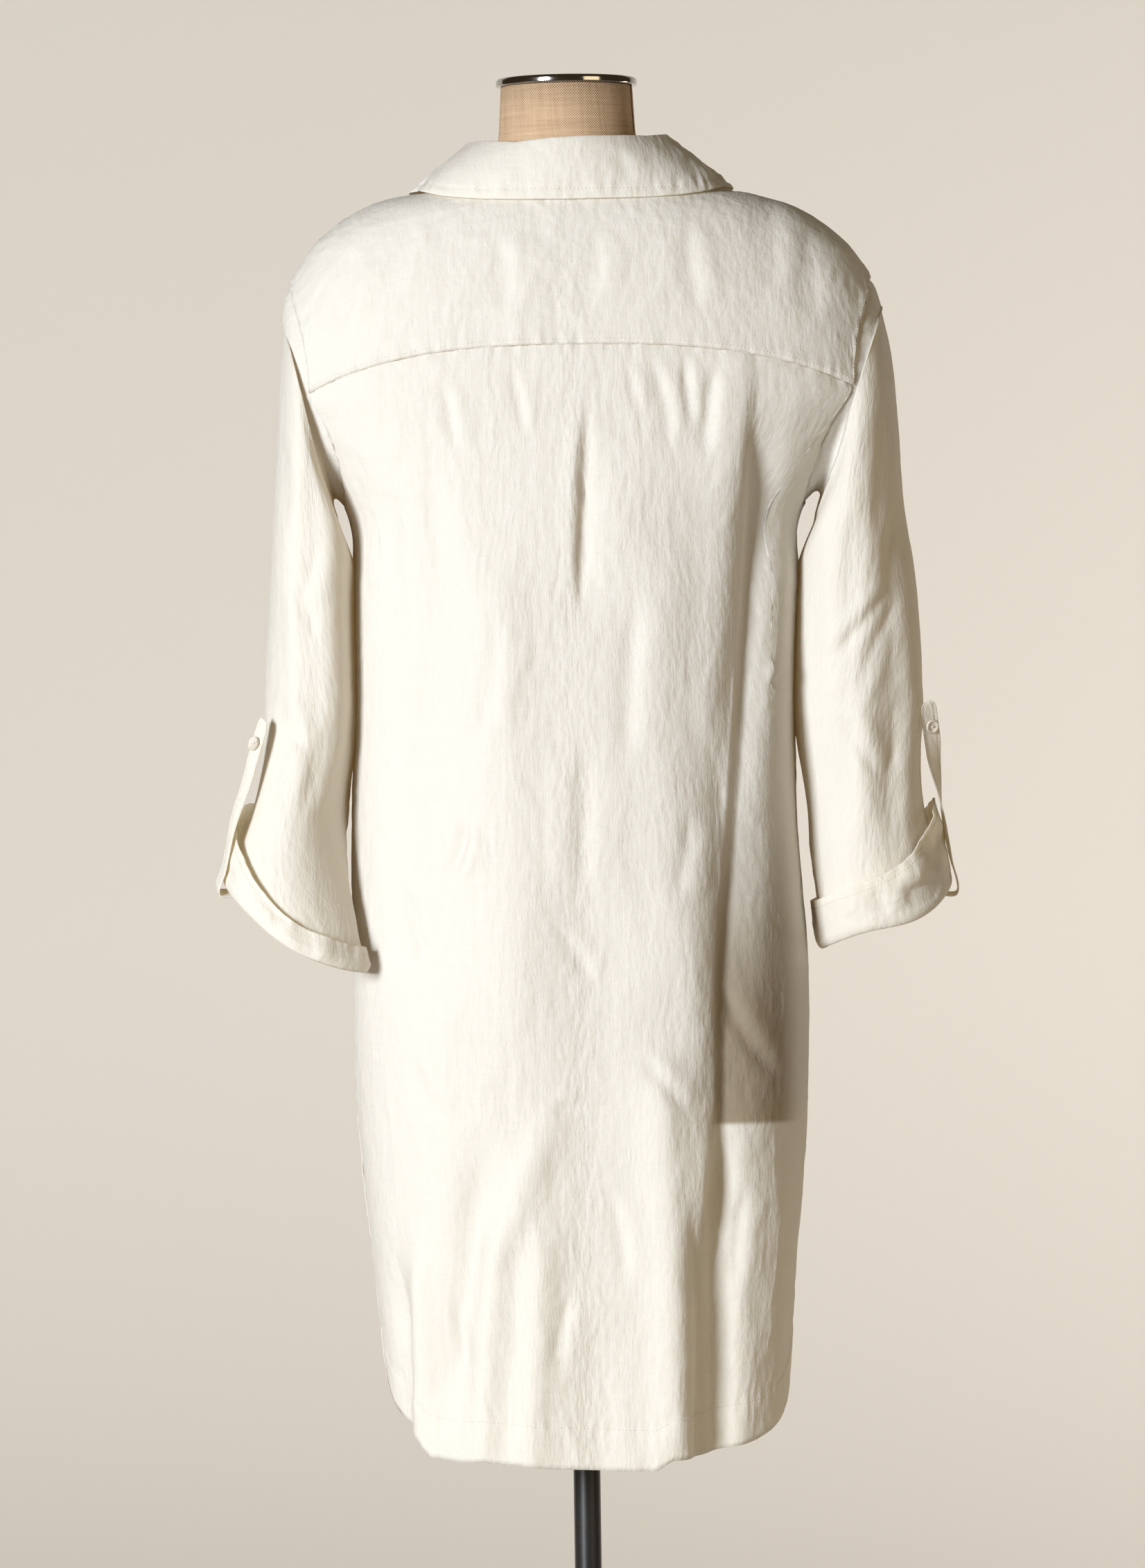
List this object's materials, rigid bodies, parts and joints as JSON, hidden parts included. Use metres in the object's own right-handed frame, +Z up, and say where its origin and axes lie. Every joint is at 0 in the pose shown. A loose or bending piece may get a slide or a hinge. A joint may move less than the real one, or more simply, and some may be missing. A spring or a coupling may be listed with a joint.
{
  "type": "tunic top on a dress form",
  "caption": "Long linen shirt tunic with a turned-down collar, back yoke, rolled sleeves held by buttoned tabs and a shirt-tail hem, worn by a limbless dress form on a pole stand.",
  "frame": {"origin": "centre of the base plate's underside, on the floor below the pole's axis", "axes": "+Z up along the pole; the tunic's back faces -Y and its front +Y; the wearer's right is +X and left is -X"},
  "size_m": [0.5728, 0.33, 1.4996],
  "materials": {
    "linen": "matt woven linen, slightly translucent",
    "form_linen": "coarse matt linen",
    "pearl_button": "glossy pearl",
    "chrome": "polished",
    "black_paint": "satin black paint"
  },
  "bodies": {
    "root": {"back_yoke": "linen", "back_panel": "linen", "front_panel": "linen", "placket_right": "linen", "placket_left": "linen", "collar_stand": "linen", "collar_fall": "linen", "sleeve_left": "linen", "sleeve_right": "linen", "cuff_left": "linen", "cuff_right": "linen", "tab_left": "linen", "tab_right": "linen", "tab_button_left": "pearl_button", "tab_button_right": "pearl_button", "placket_button_1": "pearl_button", "placket_button_2": "pearl_button", "placket_button_3": "pearl_button", "placket_button_4": "pearl_button", "dress_form": "form_linen", "neck_cap": "chrome", "pole": "black_paint", "base_plate": "black_paint"}
  },
  "joints": []
}
